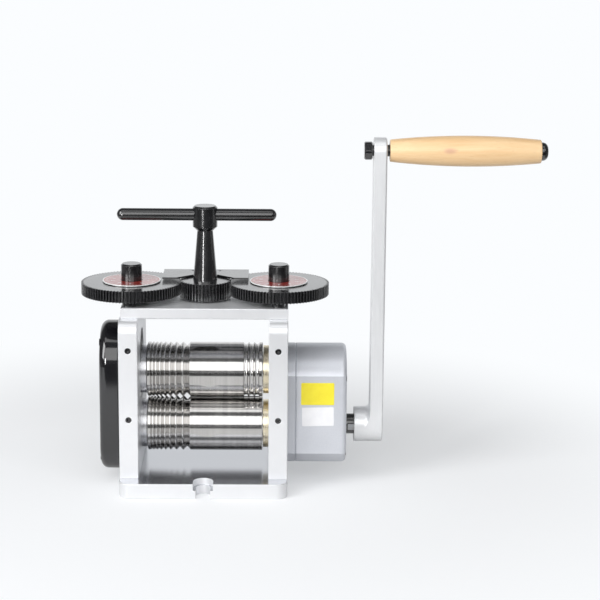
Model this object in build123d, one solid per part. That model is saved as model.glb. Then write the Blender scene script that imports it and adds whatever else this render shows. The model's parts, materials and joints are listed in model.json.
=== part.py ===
from build123d import *
import os
from math import acos, cos, pi, radians, sin, sqrt, tan

# Bench rolling mill for jewellers, sizes in millimetres.
# +X points to the crank side, +Y to the back, +Z up.
# The origin is the centre of the base plate's underside.

# ---------------------------------------------------------------- fits
running_clearance = 0.05   # shaft in its bush, on the radius
seat_clearance = 0.02      # fixed piece in its seat, on the radius
slide_clearance = 0.1      # sliding block against its window
face_gap = 0.1             # between faces that run past each other
end_play = 0.2             # of a shaft between its bushes, on each side
part_gap = 0.3             # free space round a moving piece that nothing guides

# ---------------------------------------------------------------- rolls
roll_diameter = 36.0
roll_face = 76.0           # length of the working face
roll_gap = 1.2             # between the rolls as stored
roll_gap_smallest = 0.2
roll_gap_largest = 5.0
roll_shoulder = 0.2
roll_shoulder_radius = 12.0
journal_radius = 9.0
gear_seat_radius = 8.0
roll_edge_chamfer = 0.4

wire_groove_count = 8      # square-wire grooves, small to large
wire_groove_first = 1.4    # width of the smallest V
wire_groove_last = 4.5     # width of the largest V
wire_groove_land = 0.65
wire_groove_margin = 2.0   # roll end to the edge of the first groove
ring_groove_radius = 1.5   # half-round grooves of the upper roll
ring_groove_pitch = 3.7
ring_groove_count = 3
ring_groove_margin = 2.1
ring_groove_lift = 0.35    # groove centre above the roll's surface

# ---------------------------------------------------------------- frame
base_thickness = 10.0
base_depth = 102.8
base_corner_radius = 7.0
notch_radius = 4.7         # bolt notch in the front and back edge
notch_counterbore_radius = 6.5
notch_counterbore_depth = 4.3
notch_inset = 6.9          # edge to the notch's centre

upright_thickness = 12.4
upright_depth = 80.0
upright_height = 104.5
upright_top_radius = 7.5
plate_edge = 0.4           # broken edges of the plates
lower_axis_height = 26.2   # over the base plate's top face

top_plate_thickness = 7.0
top_plate_depth = 61.0
top_plate_left_step = 1.0  # left upright's outer face to the plate's end

window_width = 30.0
window_floor_spare = 0.9
window_head_room = 9.1

# ---------------------------------------------------------------- bearings
bush_outer_radius = 12.0
bush_flange_radius = 16.0
bush_flange_thickness = 3.7
block_height = 30.0
block_chamfer = 5.0

spring_coil_radius = 1.9
spring_wire_radius = 0.4
spring_turns = 6
spring_pocket_radius = 2.8
spring_pocket_depth = 6.0
spring_offset = 10.0       # from the roll's plane, to the front and back

# ---------------------------------------------------------------- roll adjustment
side_teeth = 92
centre_teeth = 46
adjust_tooth_thinning = 0.08
side_gear_thickness = 7.7
side_gear_boss_radius = 11.0
side_gear_boss_height = 3.5
centre_gear_thickness = 11.4
centre_gear_collar_radius = 11.5
centre_gear_collar_height = 1.0
dial_radius = 19.0
dial_thickness = 0.5
dial_seat_radius = 18.6    # raised seat on the gear
dial_seat_height = 0.5

adjusting_screw_radius = 5.0
post_radius = 6.9
post_height = 11.0         # over the dial
post_flat_depth = 1.0
post_chamfer = 1.0
post_root_depth = 3.0      # how far the post reaches into the top plate
screw_tip_radius = 4.0
screw_tip_length = 2.5

retainer_thickness = 1.0
retainer_front_y = 0.5
retainer_notch_front = 18.7
retainer_notch_back = 8.0
retainer_notch_space = 2.0 # notch to the column's foot
retainer_block_width = 28.0
retainer_block_depth = 8.4
retainer_block_space = 1.7 # block to the centre gear's teeth
retainer_dial_space = 1.0

column_foot_radius = 7.95
column_neck_radius = 5.15
column_flare_height = 2.8  # neck to the hub's lower edge
column_hub_under_bar = 3.7 # hub left below the bar's hole
column_hub_over_bar = 2.0
column_hub_radius = 8.1
column_hub_chamfer = 1.2
column_spindle_radius = 5.0
column_nut_flats = 15.0
column_nut_thickness = 4.4
column_bush_radius = 7.0
bar_radius = 4.0
bar_length = 104.0
bar_height = 43.4          # over the centre gear
bar_end_radius = 3.9
bar_offset = -5.4          # the bar slides in its hub and rests to the left

# ---------------------------------------------------------------- left gears and guard
sync_teeth = 12
sync_module = 3.0
sync_tooth_thinning = 0.5
sync_addendum = 3.3
sync_width = 6.5
sync_space = 0.6           # free space between the gears and the guard's back plate
guard_half_width = 25.5    # also the radius of its round top
guard_height = 98.3
guard_under_axis = 28.4    # lower roll's axis to the guard's lower edge
guard_corner_radius = 18.0 # lower corners
guard_depth = 12.6
guard_wall = 2.0
guard_edge_radius = 5.0
guard_mouth_chamfer = 0.5
guard_back_thickness = 1.5
guard_back_inset = 1.0
guard_upper_screw_y = 16.0
guard_upper_screw_rise = 14.7      # over the centre of the round top
guard_lower_screw_y = 17.0
guard_lower_screw_rise = 10.2      # over the guard's lower edge
guard_boss_radius = 2.6
guard_hole_space = 0.9     # round the roll journals

# ---------------------------------------------------------------- gearbox
drive_module = 1.25
crank_teeth = 15
wheel_teeth = 25
layshaft_teeth = 16
roll_drive_teeth = 24
drive_tooth_thinning = 0.12
drive_width = 9.0
drive_space = 1.5          # gearbox back plate to the gear on the roll
wheel_space = 0.9          # wheel to the crankshaft's boss
gearbox_back_thickness = 5.3
gearbox_depth = 33.4
gearbox_wall = 3.0
gearbox_half_width = 24.5
gearbox_arch_radius = 27.0
gearbox_under_axis = 21.2
gearbox_over_layshaft = 29.8
gearbox_chamfer = 7.6
gearbox_edge_radius = 3.0
gearbox_seam = 0.5
gearbox_upper_screw_y = 19.5
gearbox_upper_screw_drop = 18.0    # under the cover's top
gearbox_lower_screw_y = 18.0
gearbox_lower_screw_rise = 8.0     # over the cover's bottom
gearbox_boss_radius = 4.0
layshaft_journal_radius = 5.0
layshaft_seat_radius = 6.5
layshaft_bush_radius = 7.0
layshaft_bush_length = 5.1
layshaft_boss_radius = 9.5
crankshaft_radius = 6.8
crankshaft_bush_radius = 9.8
crankshaft_boss_radius = 13.0
crankshaft_boss_length = 5.0

# ---------------------------------------------------------------- crank and grip
crank_length = 184.0
crank_gap = 5.8            # gearbox to the crank's hub
crank_hub_radius = 11.7
crank_hub_length = 18.8
crank_arm_thickness = 8.5
crank_arm_end_radius = 8.6
crank_arm_edge_radius = 1.3
crank_neck_radius = 3.6    # fillet between the hub and the arm
crank_key_start = 1.5      # gearbox to the crank's key
crank_grub_screw_inset = 6.0
grip_length = 98.0
grip_inner_end_radius = 7.2
grip_outer_end_radius = 7.6
grip_belly_radius = 10.0
grip_edge_radius = 0.7
grip_clearance = 0.1       # on its bolt, on the radius
handle_bolt_radius = 3.0
handle_bolt_head_radius = 6.0
handle_bolt_head_height = 4.4
handle_bolt_dome = 3.4     # part of the head's height that is round
handle_nut_flats = 11.4
handle_nut_radius = 6.1    # its corners are turned off to this radius
handle_nut_thickness = 5.3
handle_nut_chamfer = 0.8
inner_spacer_radius = 3.5  # nut to arm
inner_spacer_length = 0.9
outer_spacer_radius = 3.8  # arm to grip
outer_spacer_length = 1.8

# ---------------------------------------------------------------- keys, clips and screws
key_width = 4.0
key_height = 4.0
key_sink = 2.2             # depth of the keyway in the shaft
clip_thickness = 1.2
clip_radius = 10.0
clip_groove_depth = 1.0
clip_opening = 5.0
shaft_end = 1.0            # shaft left over outside its clip
shaft_chamfer = 0.8

m5_radius = 2.5
m5_head_radius = 4.25
m5_head_height = 2.6
head_chamfer = 0.4
socket_depth = 1.6
m5_sunk_head_radius = 5.0
m4_radius = 2.0
m4_head_radius = 3.5
m4_head_height = 4.0
m3_radius = 1.5
m3_sunk_head_radius = 2.4
sunk_socket_depth = 0.7
sunk_socket_ratio = 0.6    # socket across its flats, as a share of the shank
socket_ratio = 0.55        # socket across its flats, as a share of the head
screw_hold = 9.0           # thread length in the last plate
upright_screw_hold = 14.0
upright_screw_y = 24.0
base_screw_y = 25.0
grub_screw_length = 8.0
grub_screw_sink = 0.4
grub_screw_low = 13.3      # over the lower roll's axis
grub_screw_high = 59.3
grub_socket_depth = 2.5
retainer_screw_x = 9.0

pressure_angle = radians(20)
root_depth = 1.25          # of a standard tooth, in modules

# ---------------------------------------------------------------- places worked out from the sizes
roll_radius = roll_diameter / 2
lower_axis_z = base_thickness + lower_axis_height
upper_axis_z = lower_axis_z + roll_diameter + roll_gap
closing_travel = roll_gap - roll_gap_smallest
opening_travel = roll_gap_largest - roll_gap

flange_face = roll_face / 2 + roll_shoulder + end_play
upright_inner = flange_face + bush_flange_thickness
upright_outer = upright_inner + upright_thickness
screw_x = (upright_inner + upright_outer) / 2
upright_top_z = base_thickness + upright_height
window_floor_z = upper_axis_z - block_height / 2 - closing_travel - window_floor_spare
window_top_z = upper_axis_z + block_height / 2 + opening_travel + window_head_room
block_top_z = upper_axis_z + block_height / 2
block_half_width = window_width / 2 - slide_clearance

plate_top_z = upright_top_z + top_plate_thickness
adjust_module = 2 * screw_x / (side_teeth + centre_teeth)
side_gear_z = plate_top_z + face_gap + side_gear_boss_height
dial_z = side_gear_z + side_gear_thickness + dial_seat_height
post_top_z = dial_z + dial_thickness + post_height
centre_gear_z = plate_top_z + face_gap + centre_gear_collar_height
centre_gear_top_z = centre_gear_z + centre_gear_thickness
retainer_z = centre_gear_top_z + part_gap
retainer_half_width = screw_x - dial_radius - retainer_dial_space
retainer_block_y = adjust_module * (centre_teeth / 2 + 1) + retainer_block_space
retainer_screw_y = retainer_block_y + retainer_block_depth / 2

guard_back_face = -upright_outer - guard_back_thickness
guard_face = guard_back_face - guard_depth
guard_bottom_z = lower_axis_z - guard_under_axis
guard_arch_z = guard_bottom_z + guard_height - guard_half_width
sync_inner = guard_back_face - sync_space
sync_outer = sync_inner - sync_width
guard_screw_places = [(side * y, z)
                      for side in (-1, 1)
                      for y, z in ((guard_upper_screw_y, guard_arch_z + guard_upper_screw_rise),
                                   (guard_lower_screw_y, guard_bottom_z + guard_lower_screw_rise))]

drive_centres = drive_module * (crank_teeth + wheel_teeth) / 2
layshaft_z = lower_axis_z + drive_centres
gearbox_face = upright_outer + gearbox_back_thickness
gearbox_outer = gearbox_face + gearbox_depth
gearbox_inner_wall = gearbox_outer - gearbox_wall
gearbox_bottom_z = lower_axis_z - gearbox_under_axis
gearbox_top_z = layshaft_z + gearbox_over_layshaft
drive_start = gearbox_face + drive_space
drive_end = drive_start + drive_width
wheel_end = gearbox_inner_wall - crankshaft_boss_length - wheel_space
wheel_start = wheel_end - drive_width
gearbox_screw_places = [(side * y, z)
                        for side in (-1, 1)
                        for y, z in ((gearbox_upper_screw_y, gearbox_top_z - gearbox_upper_screw_drop),
                                     (gearbox_lower_screw_y, gearbox_bottom_z + gearbox_lower_screw_rise))]

crank_hub_start = gearbox_outer + crank_gap
crank_outer = crank_hub_start + crank_hub_length
crank_inner = crank_outer - crank_arm_thickness
grip_axis_z = lower_axis_z + crank_length
grip_start = crank_outer + outer_spacer_length + face_gap
grip_end = grip_start + grip_length
nut_start = crank_inner - inner_spacer_length - handle_nut_thickness


# ---------------------------------------------------------------- building blocks
def side_plane(x, y=0.0, z=0.0):
    """Plane that faces +X, with its own x along +Y and its own y along +Z."""
    return Plane(origin=(x, y, z), x_dir=(0, 1, 0), z_dir=(1, 0, 0))


def rod_x(radius, start, end, z, y=0.0):
    return extrude(side_plane(start, y, z) * Circle(radius), end - start)


def rod_z(radius, start, end, x=0.0, y=0.0):
    return extrude(Pos(x, y, start) * Circle(radius), end - start)


def rod_y(radius, start, end, x, z):
    plane = Plane(origin=(x, start, z), x_dir=(1, 0, 0), z_dir=(0, 1, 0))
    return extrude(plane * Circle(radius), end - start)


def ring_x(outer, inner, start, end, z, y=0.0):
    return rod_x(outer, start, end, z, y) - rod_x(inner, start, end, z, y)


def ring_z(outer, inner, start, end, x=0.0, y=0.0):
    return rod_z(outer, start, end, x, y) - rod_z(inner, start, end, x, y)


def block(x_range, y_range, z_range):
    """Box between three pairs of limits."""
    sizes = [high - low for low, high in (x_range, y_range, z_range)]
    corner = Align.MIN
    return Pos(x_range[0], y_range[0], z_range[0]) * Box(*sizes, align=(corner, corner, corner))


def turned_x(outline, z):
    """Solid turned about an axis along X, from (x, radius) points in order of x."""
    closed = [(outline[0][0], 0), *outline, (outline[-1][0], 0)]
    profile = Plane.XZ * make_face(Polyline(*closed, close=True))
    return Pos(0, 0, z) * revolve(profile, Axis.X)


def turned_z(outline, x=0.0):
    """Solid turned about an upright axis, from (radius, z) points in order of z."""
    closed = [(0, outline[0][1]), *outline, (0, outline[-1][1])]
    profile = Plane.XZ * make_face(Polyline(*closed, close=True))
    return Pos(x, 0, 0) * revolve(profile, Axis.Z)


def polar(radius, angle):
    return (radius * cos(angle), radius * sin(angle))


def involute(angle):
    return tan(angle) - angle


def gear_face(teeth, module, thinning, addendum, dedendum, phase):
    """Outline of a spur gear with a tooth at phase degrees."""
    pitch_radius = module * teeth / 2
    base_radius = pitch_radius * cos(pressure_angle)
    root_radius = pitch_radius - dedendum
    tip_radius = pitch_radius + addendum
    form_radius = max(base_radius, root_radius)
    spread = (pi * module / 2 - thinning) / (2 * pitch_radius) + involute(pressure_angle)

    def half_angle(radius):
        return spread - involute(acos(min(1.0, base_radius / radius)))

    flank_radii = (form_radius, (form_radius + tip_radius) / 2, tip_radius)
    neck_half = half_angle(form_radius)
    pitch = 2 * pi / teeth
    edges = []
    for tooth in range(teeth):
        centre = radians(phase) + pitch * tooth
        rising = [polar(r, centre - half_angle(r)) for r in flank_radii]
        falling = [polar(r, centre + half_angle(r)) for r in reversed(flank_radii)]
        neck_start = polar(root_radius, centre - neck_half)
        neck_end = polar(root_radius, centre + neck_half)
        next_neck = polar(root_radius, centre + pitch - neck_half)
        edges += [ThreePointArc(*rising), Line(rising[-1], falling[0]), ThreePointArc(*falling)]
        if root_radius < form_radius:
            edges += [Line(neck_start, rising[0]), Line(falling[-1], neck_end)]
        edges.append(Line(neck_end, next_neck))
    return make_face(edges)


def standard_gear(teeth, module, thinning, phase):
    return gear_face(teeth, module, thinning, module, root_depth * module, phase)


def hexagon(radius):
    """Hexagon whose flats lie at this radius."""
    return RegularPolygon(radius, 6, major_radius=False)


def cap_screw(head_radius, head_height, shank_radius, shank_length):
    """Socket screw with its head over z = 0 and its shank below."""
    head = chamfer(rod_z(head_radius, 0, head_height).edges().group_by(Axis.Z)[-1], head_chamfer)
    socket = extrude(Pos(0, 0, head_height) * hexagon(head_radius * socket_ratio), -socket_depth)
    return head + rod_z(shank_radius, -shank_length, 0) - socket


def sunk_screw(head_radius, shank_radius, length):
    """Countersunk screw with its flat top at z = 0."""
    cone = head_radius - shank_radius
    outline = [(shank_radius, -length), (shank_radius, -cone), (head_radius, 0)]
    socket = extrude(hexagon(shank_radius * sunk_socket_ratio), -sunk_socket_depth)
    return turned_z(outline) - socket


def sunk_hole(head_radius, shank_radius, length):
    """Hole for a countersunk screw, its mouth at z = 0."""
    cone = head_radius - shank_radius
    shank, mouth = shank_radius + seat_clearance, head_radius + seat_clearance
    return turned_z([(shank, -length), (shank, -cone), (mouth, 0)])


def place_all(piece, places):
    """Copies of one piece, kept apart as separate solids."""
    return Compound([place * piece for place in places])


def key_x(start, end, axis_z, seat_radius, turn=90):
    """Key along X whose base lies in a shaft, on the side that turn gives (90 is up)."""
    low = seat_radius - key_sink
    bar = block((start, end), (-key_width / 2, key_width / 2), (low, low + key_height))
    return Pos(0, 0, axis_z) * Rot(turn - 90, 0, 0) * bar


def clip_x(start, z, seat_radius, turn=0):
    """Open spring clip in a groove of a shaft along X."""
    inner = seat_radius - clip_groove_depth + seat_clearance
    ring = ring_x(clip_radius, inner, start, start + clip_thickness, 0)
    opening = block((start, start + clip_thickness), (-clip_opening / 2, clip_opening / 2), (0, clip_radius))
    return Pos(0, 0, z) * Rot(turn, 0, 0) * (ring - opening)


# ---------------------------------------------------------------- frame pieces
upright_screw_places = [Pos(x, y, 0)
                        for x in (-screw_x, screw_x)
                        for y in (-upright_screw_y, upright_screw_y)]
base_screw_places = [Pos(x, y, 0) * Rot(180, 0, 0)
                     for x in (-screw_x, screw_x)
                     for y in (-base_screw_y, base_screw_y)]
base_screw_length = base_thickness + upright_screw_hold
m5_clear = m5_radius + seat_clearance
m4_clear = m4_radius + seat_clearance
m3_clear = m3_radius + seat_clearance


def break_edges(plate, across):
    """Small chamfer round both faces of a plate; across is the axis through its thickness."""
    rims = plate.edges().group_by(across)
    return chamfer(rims[0] + rims[-1], plate_edge)


def base_plate():
    plate = block((-upright_outer, upright_outer), (-base_depth / 2, base_depth / 2), (0, base_thickness))
    plate = fillet(plate.edges().filter_by(Axis.Z), base_corner_radius)
    plate = break_edges(plate, Axis.Z)
    for end in (-1, 1):
        centre_y = end * (base_depth / 2 - notch_inset)
        edge_y = end * base_depth / 2
        y_range = (min(centre_y, edge_y), max(centre_y, edge_y))
        counterbore = (base_thickness - notch_counterbore_depth, base_thickness)
        plate -= rod_z(notch_radius, 0, base_thickness, 0, centre_y)
        plate -= block((-notch_radius, notch_radius), y_range, (0, base_thickness))
        plate -= rod_z(notch_counterbore_radius, *counterbore, 0, centre_y)
        plate -= block((-notch_counterbore_radius, notch_counterbore_radius), y_range, counterbore)
    for place in base_screw_places:
        plate -= place * sunk_hole(m5_sunk_head_radius, m5_radius, base_thickness)
    return plate


def window_outline():
    """Opening for a bearing block: flat floor, straight sides and a round head."""
    head_radius = window_width / 2
    head_z = window_top_z - head_radius
    straight = Pos(0, (window_floor_z + head_z) / 2) * Rectangle(window_width, head_z - window_floor_z)
    return straight + Pos(0, head_z) * Circle(head_radius)


def upright(side):
    """Side plate; side is -1 on the left and 1 on the crank side."""
    inner, outer = side * upright_inner, side * upright_outer
    left, right = min(inner, outer), max(inner, outer)
    plate = block((left, right), (-upright_depth / 2, upright_depth / 2), (base_thickness, upright_top_z))
    top_corners = plate.edges().filter_by(Axis.X).group_by(Axis.Z)[-1]
    plate = break_edges(fillet(top_corners, upright_top_radius), Axis.X)
    plate -= extrude(side_plane(left) * window_outline(), upright_thickness)
    plate -= rod_x(bush_outer_radius + seat_clearance, left, right, lower_axis_z)
    x = side * screw_x
    plate -= rod_z(adjusting_screw_radius + running_clearance, upper_axis_z, upright_top_z, x)
    for y in (-upright_screw_y, upright_screw_y):
        plate -= rod_z(m5_clear, upright_top_z - upright_screw_hold, upright_top_z, x, y)
    for y in (-base_screw_y, base_screw_y):
        plate -= rod_z(m5_clear, base_thickness, base_screw_length, x, y)
    for height in (grub_screw_low, grub_screw_high):
        front = -upright_depth / 2
        depth = grub_screw_sink + grub_screw_length
        plate -= rod_y(m4_clear, front, front + depth, x, lower_axis_z + height)
    for y in (-spring_offset, spring_offset):
        plate -= rod_z(spring_pocket_radius, window_floor_z - spring_pocket_depth, window_floor_z, x, y)
    places, clear = (guard_screw_places, m3_clear) if side < 0 else (gearbox_screw_places, m4_clear)
    deep = outer - side * screw_hold
    for y, z in places:
        plate -= rod_x(clear, min(outer, deep), max(outer, deep), z, y)
    return plate


def top_plate():
    plate = block((top_plate_left_step - upright_outer, upright_outer),
                  (-top_plate_depth / 2, top_plate_depth / 2), (upright_top_z, plate_top_z))
    plate = break_edges(plate, Axis.Z)
    plate -= rod_z(column_bush_radius + seat_clearance, upright_top_z, plate_top_z)
    for x in (-screw_x, screw_x):
        plate -= rod_z(post_radius + part_gap, upright_top_z, plate_top_z, x)
        for y in (-upright_screw_y, upright_screw_y):
            plate -= rod_z(m5_clear, upright_top_z, plate_top_z, x, y)
    for x in (-retainer_screw_x, retainer_screw_x):
        plate -= rod_z(m3_clear, upright_top_z, plate_top_z, x, retainer_screw_y)
    return plate


def base_screws():
    screw = sunk_screw(m5_sunk_head_radius, m5_radius, base_screw_length - face_gap)
    return place_all(screw, base_screw_places)


def top_plate_screws():
    length = top_plate_thickness + upright_screw_hold - face_gap
    screw = cap_screw(m5_head_radius, m5_head_height, m5_radius, length)
    return place_all(screw, [Pos(0, 0, plate_top_z) * place for place in upright_screw_places])


def grub_screws():
    """Headless socket screws in the front edges of the uprights."""
    body = rod_z(m4_radius, -grub_screw_length, 0)
    screw = body - extrude(hexagon(m4_radius * socket_ratio), -grub_socket_depth)
    front = -upright_depth / 2 + grub_screw_sink
    turn = Rot(90, 0, 0)
    return place_all(screw, [Pos(x, front, lower_axis_z + height) * turn
                             for x in (-screw_x, screw_x)
                             for height in (grub_screw_low, grub_screw_high)])


def flanged_bush(side, z, outer_radius):
    """Bush whose flange lies against the inner face of an upright."""
    inner, flange_edge, outer = (side * x for x in (flange_face, upright_inner, upright_outer))
    body = rod_x(outer_radius, min(flange_edge, outer), max(flange_edge, outer), z)
    flange = rod_x(bush_flange_radius, min(inner, flange_edge), max(inner, flange_edge), z)
    bore = rod_x(journal_radius + running_clearance, min(inner, outer), max(inner, outer), z)
    return body + flange - bore


def bearing_block(side):
    """Sliding block that carries an upper bush; its top corners clear the window's round head."""
    low = side * screw_x - upright_thickness / 2 + slide_clearance
    x_range = (low, low + upright_thickness - 2 * slide_clearance)
    floor = upper_axis_z - block_height / 2
    body = block(x_range, (-block_half_width, block_half_width), (floor, block_top_z))
    body = chamfer(body.edges().filter_by(Axis.X).group_by(Axis.Z)[-1], block_chamfer)
    body -= rod_x(bush_outer_radius + seat_clearance, *x_range, upper_axis_z)
    for y in (-spring_offset, spring_offset):
        body -= rod_z(spring_pocket_radius, floor, floor + spring_pocket_depth, side * screw_x, y)
    return body


def springs(side):
    """Two coil springs that lift one bearing block."""
    low = window_floor_z - spring_pocket_depth + spring_wire_radius
    high = upper_axis_z - block_height / 2 + spring_pocket_depth - spring_wire_radius
    pitch = (high - low) / spring_turns
    path = Helix(pitch=pitch, height=high - low, radius=spring_coil_radius)
    wire = Plane(origin=path @ 0, z_dir=path % 0) * Circle(spring_wire_radius)
    coil = sweep(wire, path=path)
    return place_all(coil, [Pos(side * screw_x, y, low) for y in (-spring_offset, spring_offset)])


# ---------------------------------------------------------------- rolls and their gears
def wire_grooves():
    """Centres and widths of the V grooves, from the left end of a roll."""
    growth = (wire_groove_last / wire_groove_first) ** (1 / (wire_groove_count - 1))
    widths = [wire_groove_first * growth ** step for step in range(wire_groove_count)]
    edge = -roll_face / 2 + wire_groove_margin
    grooves = []
    for width in widths:
        grooves.append((edge + width / 2, width))
        edge += width + wire_groove_land
    return grooves


def roll_outline(left_end, right_end):
    """(x, radius) points of a roll with V grooves, shoulders and journals."""
    half = roll_face / 2
    shoulder = half + roll_shoulder
    edge = roll_radius - roll_edge_chamfer
    points = [*left_end, (-shoulder, journal_radius), (-shoulder, roll_shoulder_radius),
              (-half, roll_shoulder_radius), (-half, edge), (-half + roll_edge_chamfer, roll_radius)]
    for centre, width in wire_grooves():
        points += [(centre - width / 2, roll_radius), (centre, roll_radius - width / 2),
                   (centre + width / 2, roll_radius)]
    points += [(half - roll_edge_chamfer, roll_radius), (half, edge), (half, roll_shoulder_radius),
               (shoulder, roll_shoulder_radius), (shoulder, journal_radius), *right_end]
    return points


def clipped_end(gear_start, gear_end, seat_radius):
    """(x, radius) points of a shaft end with a gear seat and a clip groove, away from the roll."""
    away = 1 if gear_end > gear_start else -1
    groove = gear_end + away * face_gap
    groove_end = groove + away * (clip_thickness + face_gap)
    end = groove_end + away * shaft_end
    tip = end - away * shaft_chamfer
    deep = seat_radius - clip_groove_depth
    return [(gear_start, seat_radius), (groove, seat_radius), (groove, deep), (groove_end, deep),
            (groove_end, seat_radius), (tip, seat_radius), (end, seat_radius - shaft_chamfer)]


def left_roll_end():
    points = [(sync_inner, journal_radius), *clipped_end(sync_inner, sync_outer, gear_seat_radius)]
    return points[::-1]


def lower_roll():
    right = [(drive_start, journal_radius), *clipped_end(drive_start, drive_end, gear_seat_radius)]
    roll = turned_x(roll_outline(left_roll_end(), right), lower_axis_z)
    return roll - lower_sync_key() - drive_gear_key()


def upper_roll():
    plain_end = upright_outer - part_gap
    right = [(plain_end - shaft_chamfer, journal_radius), (plain_end, journal_radius - shaft_chamfer)]
    roll = turned_x(roll_outline(left_roll_end(), right), upper_axis_z)
    for step in range(ring_groove_count):
        x = roll_face / 2 - ring_groove_margin - ring_groove_radius - step * ring_groove_pitch
        section = Plane.XZ * Pos(x, roll_radius + ring_groove_lift) * Circle(ring_groove_radius)
        roll -= Pos(0, 0, upper_axis_z) * revolve(section, Axis.X)
    return roll - upper_sync_key()


def sync_gear(z, phase):
    """Long-toothed gear that keeps the rolls in step at any gap."""
    dedendum = sync_addendum + part_gap
    face = gear_face(sync_teeth, sync_module, sync_tooth_thinning, sync_addendum, dedendum, phase)
    gear = extrude(side_plane(sync_outer, 0, z) * face, sync_width)
    return gear - rod_x(gear_seat_radius + seat_clearance, sync_outer, sync_inner, z)


def lower_sync_key():
    return key_x(sync_outer, sync_inner, lower_axis_z, gear_seat_radius)


def upper_sync_key():
    return key_x(sync_outer, sync_inner, upper_axis_z, gear_seat_radius)


def drive_gear_key():
    return key_x(drive_start, drive_end, lower_axis_z, gear_seat_radius)


def lower_sync_gear():
    return sync_gear(lower_axis_z, 90) - lower_sync_key()


def upper_sync_gear():
    return sync_gear(upper_axis_z, -90 + 180 / sync_teeth) - upper_sync_key()


def sync_clip(z):
    return clip_x(sync_outer - face_gap - clip_thickness, z, gear_seat_radius)


# ---------------------------------------------------------------- left gear guard
def guard_outline(inset=0.0):
    """Round top, straight sides and round lower corners, drawn inside the guard's rim by inset."""
    corner_y = guard_half_width - guard_corner_radius
    corner_z = guard_bottom_z + guard_corner_radius
    circles = [Pos(0, guard_arch_z) * Circle(guard_half_width - inset)]
    circles += [Pos(y, corner_z) * Circle(guard_corner_radius - inset) for y in (-corner_y, corner_y)]
    return make_hull([edge for circle in circles for edge in circle.edges()])


def guard_back_plate():
    outline = side_plane(guard_back_face) * guard_outline(guard_back_inset)
    plate = extrude(outline, guard_back_thickness)
    hole_radius = journal_radius + guard_hole_space
    plate -= rod_x(hole_radius, guard_back_face, -upright_outer, lower_axis_z)
    low, high = upper_axis_z - closing_travel, upper_axis_z + opening_travel
    for z in (low, high):
        plate -= rod_x(hole_radius, guard_back_face, -upright_outer, z)
    plate -= block((guard_back_face, -upright_outer), (-hole_radius, hole_radius), (low, high))
    for y, z in guard_screw_places:
        plate -= rod_x(m3_clear, guard_back_face, -upright_outer, z, y)
    return plate


def gear_guard():
    """Moulded cover with a boss round each screw."""
    inner_face = guard_face + guard_wall
    shell = extrude(side_plane(guard_face) * guard_outline(), guard_depth)
    shell = fillet(shell.edges().group_by(Axis.X)[0], guard_edge_radius)
    shell = chamfer(shell.edges().group_by(Axis.X)[-1], guard_mouth_chamfer)
    hollow = extrude(side_plane(inner_face) * guard_outline(guard_wall), guard_depth - guard_wall)
    shell -= fillet(hollow.edges().group_by(Axis.X)[0], guard_edge_radius - guard_wall)
    length = guard_depth + guard_back_thickness
    for y, z in guard_screw_places:
        place = Pos(guard_face, y, z) * Rot(0, -90, 0)
        shell += rod_x(guard_boss_radius, inner_face, guard_back_face, z, y)
        shell -= place * sunk_hole(m3_sunk_head_radius, m3_radius, length)
    return shell


def guard_screws():
    length = guard_depth + guard_back_thickness + screw_hold - face_gap
    screw = sunk_screw(m3_sunk_head_radius, m3_radius, length)
    return place_all(screw, [Pos(guard_face, y, z) * Rot(0, -90, 0) for y, z in guard_screw_places])


# ---------------------------------------------------------------- gearbox
def gearbox_outline():
    """Round-topped outline with a flat front and back and chamfered lower corners."""
    half, low = gearbox_half_width, gearbox_bottom_z
    arch_centre = gearbox_top_z - gearbox_arch_radius
    shoulder = arch_centre + sqrt(gearbox_arch_radius ** 2 - half ** 2)
    foot = half - gearbox_chamfer
    edges = [Line((-foot, low), (foot, low)),
             Line((foot, low), (half, low + gearbox_chamfer)),
             Line((half, low + gearbox_chamfer), (half, shoulder)),
             ThreePointArc((half, shoulder), (0, gearbox_top_z), (-half, shoulder)),
             Line((-half, shoulder), (-half, low + gearbox_chamfer)),
             Line((-half, low + gearbox_chamfer), (-foot, low))]
    return make_face(edges)


def gearbox_back_plate():
    plate = extrude(side_plane(upright_outer) * gearbox_outline(), gearbox_back_thickness)
    plate = chamfer(plate.edges().group_by(Axis.X)[-1], gearbox_seam)
    plate -= rod_x(journal_radius + part_gap, upright_outer, gearbox_face, lower_axis_z)
    plate -= rod_x(layshaft_bush_radius + seat_clearance, upright_outer, gearbox_face, layshaft_z)
    for y, z in gearbox_screw_places:
        plate -= rod_x(m4_clear, upright_outer, gearbox_face, z, y)
    return plate


def gearbox_cover():
    shell = extrude(side_plane(gearbox_face) * gearbox_outline(), gearbox_depth)
    shell = fillet(shell.edges().group_by(Axis.X)[-1], gearbox_edge_radius)
    shell = chamfer(shell.edges().group_by(Axis.X)[0], gearbox_seam)
    hollow = offset(gearbox_outline(), -gearbox_wall)
    shell -= extrude(side_plane(gearbox_face) * hollow, gearbox_depth - gearbox_wall)
    overlap = gearbox_wall / 2
    boss_start = gearbox_inner_wall - crankshaft_boss_length
    shell += rod_x(crankshaft_boss_radius, boss_start, gearbox_inner_wall + overlap, lower_axis_z)
    shell += rod_x(layshaft_boss_radius, boss_start, gearbox_inner_wall + overlap, layshaft_z)
    shell -= rod_x(crankshaft_bush_radius + seat_clearance, boss_start, gearbox_outer, lower_axis_z)
    shell -= rod_x(layshaft_bush_radius + seat_clearance, boss_start, boss_start + layshaft_bush_length,
                   layshaft_z)
    for y, z in gearbox_screw_places:
        shell += rod_x(gearbox_boss_radius, gearbox_face, gearbox_inner_wall + overlap, z, y)
        shell -= rod_x(m4_clear, gearbox_face, gearbox_outer, z, y)
        shell -= rod_x(m4_head_radius + seat_clearance, gearbox_outer - m4_head_height, gearbox_outer, z, y)
    return shell


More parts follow.
